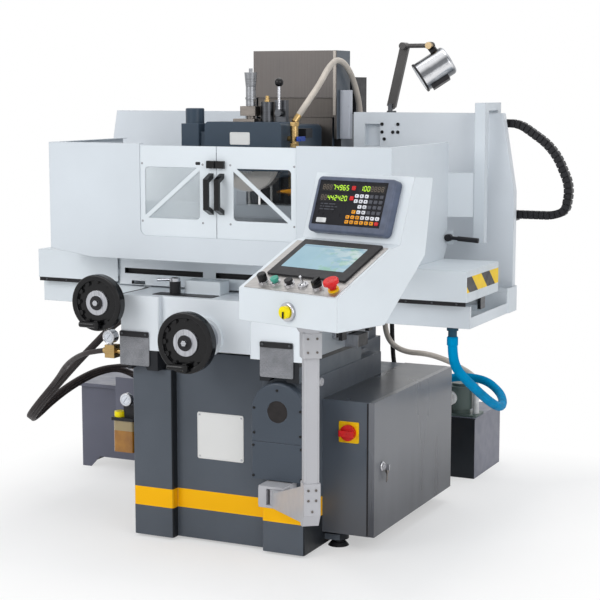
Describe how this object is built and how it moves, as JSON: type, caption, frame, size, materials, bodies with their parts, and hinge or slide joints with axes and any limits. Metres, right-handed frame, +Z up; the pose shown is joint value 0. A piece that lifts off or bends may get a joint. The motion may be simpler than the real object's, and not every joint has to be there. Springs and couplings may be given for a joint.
{
  "type": "hydraulic surface grinder",
  "caption": "Column-type surface grinder with hydraulic table, splash guard with sliding doors, swing-arm console, electrical cabinet and separate hydraulic and coolant tanks.",
  "frame": {"origin": "on the floor, under the middle of the machine with its tanks and console", "axes": "+X along the table to the operator's right, +Y from the operator to the column, +Z up"},
  "size_m": [1.851, 2.0146, 1.519],
  "materials": {
    "slate_paint": "satin enamel",
    "white_casting": "satin enamel",
    "white_sheet": "satin powder coat",
    "cabinet_paint": "textured powder coat",
    "arm_paint": "satin paint",
    "bright_steel": "ground",
    "column_cover": "brushed",
    "black_plastic": "gloss",
    "grey_plastic": "matt",
    "red_plastic": "gloss",
    "green_plastic": "gloss",
    "black_rubber": "matt",
    "amber_oil": "clear",
    "brass": "turned",
    "abrasive": "bonded grit",
    "blue_plastic": "gloss",
    "beige_hose": "satin",
    "blue_hose": "satin",
    "silver_lamp": "anodised"
  },
  "bodies": {
    "base": {"base_casting": "slate_paint", "leveling_feet": "bright_steel", "column_casting": "slate_paint", "column_fittings": "column_cover", "gear_covers": "slate_paint", "cabinet_shell": "cabinet_paint", "hydraulic_unit": "cabinet_paint", "lubricator": "amber_oil", "coolant_unit": "cabinet_paint", "arm_bracket": "arm_paint", "coolant_hose_lower": "beige_hose", "cabinet_conduit": "black_rubber"},
    "saddle": {"saddle_casting": "white_casting", "saddle_trays": "white_sheet", "saddle_trim": "black_rubber", "rear_panels": "white_sheet", "valve_gear": "white_sheet", "table_cylinder": "bright_steel", "cable_chain": "black_plastic", "drain_hose": "blue_hose", "hydraulic_hoses": "black_rubber"},
    "table": {"table_casting": "white_casting", "table_end_boxes": "white_sheet", "mag_chuck": "bright_steel", "guard_shell": "white_sheet"},
    "wheelhead": {"wheelhead": "slate_paint", "wheel_guard": "slate_paint", "dresser": "bright_steel", "coolant_valve": "brass", "coolant_hose_upper": "beige_hose"},
    "spindle": {"spindle": "bright_steel", "grinding_wheel": "abrasive"},
    "console": {"console_housing": "white_sheet", "touch_panel": "black_plastic", "dro_unit": "grey_plastic"},
    "cabinet_door": {"cabinet_door": "cabinet_paint"},
    "main_switch": {"main_switch": "red_plastic"},
    "pendant_arm": {"pendant_arm": "arm_paint"},
    "dimmer_knob": {"dimmer_knob": "black_plastic"},
    "start_button": {"start_button": "green_plastic"},
    "stop_button": {"stop_button": "grey_plastic"},
    "toggle_lever": {"toggle_lever": "bright_steel"},
    "selector_knob": {"selector_knob": "black_plastic"},
    "estop_button": {"estop_button": "red_plastic"},
    "feed_knob": {"feed_knob": "bright_steel"},
    "reversing_lever": {"reversing_lever": "bright_steel"},
    "cross_handwheel": {"cross_handwheel": "black_plastic"},
    "cross_grip": {"cross_grip": "black_plastic"},
    "table_handwheel": {"table_handwheel": "black_plastic"},
    "table_grip": {"table_grip": "black_plastic"},
    "door_left": {"door_left": "white_sheet"},
    "door_right": {"door_right": "white_sheet"},
    "clamp_lever": {"clamp_lever": "black_plastic"},
    "dresser_thimble": {"dresser_thimble": "bright_steel"},
    "dresser_lever": {"dresser_lever": "bright_steel"},
    "valve_handle": {"valve_handle": "blue_plastic"},
    "lamp_lower_arm": {"lamp_lower_arm": "silver_lamp"},
    "lamp_upper_arm": {"lamp_upper_arm": "black_plastic"},
    "lamp_head": {"lamp_head": "silver_lamp"}
  },
  "joints": [
    {"name": "cross_feed", "type": "slide", "parent": "base", "child": "saddle", "axis": [0, 1, 0], "range_m": [-0.11, 0.125], "deforming": ["drain_hose", "hydraulic_hoses"]},
    {"name": "table_feed", "type": "slide", "parent": "saddle", "child": "table", "axis": [1, 0, 0], "range_m": [-0.28, 0.28], "deforming": ["cable_chain"]},
    {"name": "head_lift", "type": "slide", "parent": "base", "child": "wheelhead", "axis": [0, 0, 1], "range_m": [-0.09, 0.08], "deforming": ["coolant_hose_upper"]},
    {"name": "spindle_turn", "type": "hinge", "parent": "wheelhead", "child": "spindle", "pos_m": [0.02554, -0.1697, 1.163], "axis": [0, 1, 0], "continuous": true},
    {"name": "cross_wheel_turn", "type": "hinge", "parent": "saddle", "child": "cross_handwheel", "pos_m": [-0.00646, -0.5287, 0.642], "axis": [0, 1, 0], "range_deg": [-7930, 9010]},
    {"name": "table_wheel_turn", "type": "hinge", "parent": "saddle", "child": "table_handwheel", "pos_m": [-0.31846, -0.5107, 0.739], "axis": [0, 1, 0], "range_deg": [-1019, 1019]},
    {"name": "cross_grip_fold", "type": "hinge", "parent": "cross_handwheel", "child": "cross_grip", "pos_m": [0.00154, -0.538, 0.571], "axis": [0, 0, 1], "range_deg": [0, 90]},
    {"name": "table_grip_fold", "type": "hinge", "parent": "table_handwheel", "child": "table_grip", "pos_m": [-0.31046, -0.52, 0.674], "axis": [0, 0, 1], "range_deg": [0, 90]},
    {"name": "left_door_slide", "type": "slide", "parent": "table", "child": "door_left", "axis": [1, 0, 0], "range_m": [-0.2, 0]},
    {"name": "right_door_slide", "type": "slide", "parent": "table", "child": "door_right", "axis": [1, 0, 0], "range_m": [0, 0.2]},
    {"name": "clamp_lever_turn", "type": "hinge", "parent": "table", "child": "clamp_lever", "pos_m": [0.59254, 0.0553, 0.924], "axis": [0, 1, 0], "range_deg": [-75, 20]},
    {"name": "reversing_lever_turn", "type": "hinge", "parent": "saddle", "child": "reversing_lever", "pos_m": [-0.14246, -0.3397, 0.797], "axis": [0, 0, 1], "range_deg": [-25, 25]},
    {"name": "lamp_base_joint", "type": "hinge", "parent": "saddle", "child": "lamp_lower_arm", "pos_m": [0.34354, 0.2003, 1.318], "axis": [0, 1, 0], "range_deg": [-20, 5]},
    {"name": "lamp_elbow_joint", "type": "hinge", "parent": "lamp_lower_arm", "child": "lamp_upper_arm", "pos_m": [0.38754, 0.2003, 1.507], "axis": [0, 1, 0], "range_deg": [-25, 10]},
    {"name": "lamp_wrist_joint", "type": "hinge", "parent": "lamp_upper_arm", "child": "lamp_head", "pos_m": [0.47454, 0.2003, 1.507], "axis": [0, 1, 0], "range_deg": [-20, 15]},
    {"name": "dresser_thimble_turn", "type": "hinge", "parent": "wheelhead", "child": "dresser_thimble", "pos_m": [0.03154, -0.1697, 1.335], "axis": [0, 0, 1], "continuous": true},
    {"name": "dresser_lever_turn", "type": "hinge", "parent": "wheelhead", "child": "dresser_lever", "pos_m": [0.12354, -0.1697, 1.302], "axis": [0, 1, 0], "range_deg": [-20, 20]},
    {"name": "valve_handle_turn", "type": "hinge", "parent": "wheelhead", "child": "valve_handle", "pos_m": [0.18954, -0.1647, 1.225], "axis": [1, 0, 0], "range_deg": [0, 90]},
    {"name": "cabinet_door_swing", "type": "hinge", "parent": "base", "child": "cabinet_door", "pos_m": [0.47054, 0.4093, 0.2], "axis": [0, 0, 1], "range_deg": [0, 110]},
    {"name": "main_switch_turn", "type": "hinge", "parent": "base", "child": "main_switch", "pos_m": [0.40254, -0.2647, 0.364], "axis": [0, 1, 0], "range_deg": [0, 90]},
    {"name": "arm_swing", "type": "hinge", "parent": "base", "child": "pendant_arm", "pos_m": [0.26154, -0.4667, 0.208], "axis": [0, 0, 1], "range_deg": [-30, 0]},
    {"name": "console_swivel", "type": "hinge", "parent": "pendant_arm", "child": "console", "pos_m": [0.55754, -0.8727, 0.788], "axis": [0, 0, 1], "range_deg": [-40, 40]},
    {"name": "dimmer_knob_turn", "type": "hinge", "parent": "console", "child": "dimmer_knob", "pos_m": [0.43941, -0.89995, 0.88698], "axis": [-0.1327, -0.4342, 0.891], "range_deg": [-140, 140]},
    {"name": "start_button_press", "type": "slide", "parent": "console", "child": "start_button", "axis": [0.1327, 0.4342, -0.891], "range_m": [0, 0.004], "stiffness_N_per_m": 800, "springref_m": -0.001},
    {"name": "stop_button_press", "type": "slide", "parent": "console", "child": "stop_button", "axis": [0.1327, 0.4342, -0.891], "range_m": [0, 0.004], "stiffness_N_per_m": 800, "springref_m": -0.001},
    {"name": "toggle_lever_flip", "type": "hinge", "parent": "console", "child": "toggle_lever", "pos_m": [0.56768, -0.93873, 0.89056], "axis": [0.9563, -0.2924, 0], "range_deg": [-12, 12]},
    {"name": "selector_knob_turn", "type": "hinge", "parent": "console", "child": "selector_knob", "pos_m": [0.61398, -0.95146, 0.88789], "axis": [-0.1327, -0.4342, 0.891], "range_deg": [-45, 45]},
    {"name": "estop_button_press", "type": "slide", "parent": "console", "child": "estop_button", "axis": [0.1327, 0.4342, -0.891], "range_m": [0, 0.005], "stiffness_N_per_m": 800, "springref_m": -0.002},
    {"name": "feed_knob_turn", "type": "hinge", "parent": "console", "child": "feed_knob", "pos_m": [0.53696, -0.96052, 0.825], "axis": [0.2924, 0.9563, 0], "range_deg": [-150, 150]}
  ],
  "couplings": [
    {"joint": "cross_wheel_turn", "follows": "cross_feed", "rad_per_m": 1256.6},
    {"joint": "table_wheel_turn", "follows": "table_feed", "rad_per_m": 62.832}
  ]
}
